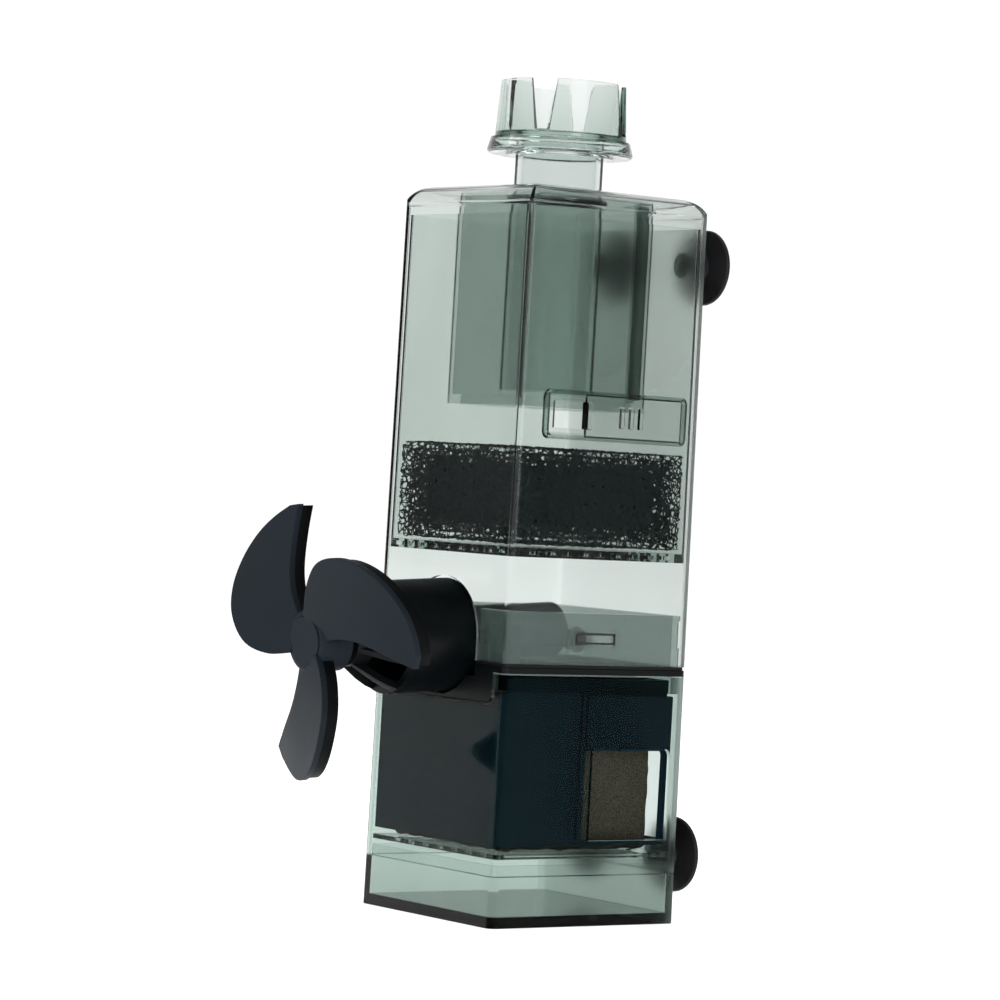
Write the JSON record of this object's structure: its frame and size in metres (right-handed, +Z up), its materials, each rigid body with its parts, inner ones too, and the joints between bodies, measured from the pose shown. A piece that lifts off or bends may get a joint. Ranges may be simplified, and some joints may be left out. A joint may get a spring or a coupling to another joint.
{
  "type": "internal power filter",
  "caption": "Clear-bodied internal aquarium filter with surface skimmer, media basket, strainer, dirt tray and a propeller outlet on a tilting motor pod.",
  "frame": {"origin": "centre of the body's flat base, where the dirt tray rests", "axes": "+Z up, -Y out of the propeller outlet, +Y to the glass and suction cups, +X towards the side with the flow shutter"},
  "size_m": [0.0883, 0.1506, 0.2832],
  "materials": {
    "smoky_clear": "smoky clear moulded plastic",
    "clear_light": "lightly tinted clear moulded plastic",
    "dark_smoke": "dark translucent moulded plastic",
    "black_plastic": "satin black moulded plastic",
    "propeller_plastic": "matt charcoal moulded plastic",
    "black_rubber": "soft black rubber",
    "black_foam": "coarse open-cell foam",
    "brown_foam": "fine open-cell foam",
    "shaft_steel": "ground steel",
    "core_steel": "laminated core",
    "copper_wire": "enamelled copper winding",
    "bush_ceramic": "white bearing plastic",
    "magnet": "dark ferrite"
  },
  "bodies": {
    "casing": {"lower_casing": "clear_light", "strainer_basket": "dark_smoke", "strainer_floor": "clear_light", "lower_sponge": "brown_foam", "motor_carrier": "black_plastic", "carrier_seal": "black_rubber", "cable_gland": "black_rubber", "suction_cup_lower_left": "black_rubber", "suction_cup_lower_right": "black_rubber"},
    "gate": {"intake_gate": "dark_smoke"},
    "tray": {"bottom_tray": "clear_light"},
    "left_latch": {"latch_left": "clear_light"},
    "right_latch": {"latch_right": "clear_light"},
    "hood": {"outer_sleeve": "smoky_clear", "skimmer_chamber": "smoky_clear", "shutter_frame": "smoky_clear", "tube_seal": "black_rubber", "suction_cup_upper_left": "black_rubber", "suction_cup_upper_right": "black_rubber"},
    "shutter": {"flow_shutter": "clear_light"},
    "basket": {"media_basket": "smoky_clear", "basket_grille": "smoky_clear", "upper_sponge": "black_foam"},
    "skimmer": {"skimmer_tube": "clear_light", "skimmer_collar": "clear_light", "skimmer_crown": "clear_light"},
    "pod": {"outlet_duct": "black_plastic", "duct_guard": "black_plastic", "motor_can": "black_plastic", "can_cap": "black_plastic", "rotor_sleeve": "black_plastic", "stator_core": "core_steel", "stator_coils": "copper_wire", "rear_bush": "bush_ceramic", "front_bush": "bush_ceramic"},
    "rotor": {"rotor_magnet": "magnet", "rotor_shaft": "shaft_steel", "propeller": "propeller_plastic", "propeller_cap": "propeller_plastic"}
  },
  "joints": [
    {"name": "gate_slide", "type": "slide", "parent": "casing", "child": "gate", "axis": [0, 0, -1], "range_m": [0, 0.02]},
    {"name": "tray_pull", "type": "slide", "parent": "casing", "child": "tray", "axis": [0, 0, -1], "range_m": [0, 0.03]},
    {"name": "left_latch_press", "type": "slide", "parent": "casing", "child": "left_latch", "axis": [1, 0, 0], "range_m": [0, 0.0015], "stiffness_N_per_m": 900},
    {"name": "right_latch_press", "type": "slide", "parent": "casing", "child": "right_latch", "axis": [-1, 0, 0], "range_m": [0, 0.0015], "stiffness_N_per_m": 900},
    {"name": "hood_lift", "type": "slide", "parent": "casing", "child": "hood", "axis": [0, 0, 1], "range_m": [0, 0.16]},
    {"name": "basket_lift", "type": "slide", "parent": "casing", "child": "basket", "axis": [0, 0, 1], "range_m": [0, 0.08]},
    {"name": "shutter_slide", "type": "slide", "parent": "hood", "child": "shutter", "axis": [0, -1, 0], "range_m": [0, 0.015]},
    {"name": "skimmer_height", "type": "slide", "parent": "hood", "child": "skimmer", "axis": [0, 0, 1], "range_m": [0, 0.025]},
    {"name": "pod_tilt", "type": "hinge", "parent": "casing", "child": "pod", "pos_m": [0, -0.0328, 0.095], "axis": [1, 0, 0], "range_deg": [-5, 5]},
    {"name": "rotor_spin", "type": "hinge", "parent": "pod", "child": "rotor", "pos_m": [0, -0.0328, 0.095], "axis": [0, -0.9981, -0.061], "continuous": true}
  ],
  "couplings": [
    {"joint": "basket_lift", "follows": "hood_lift", "ratio": 0.45}
  ]
}
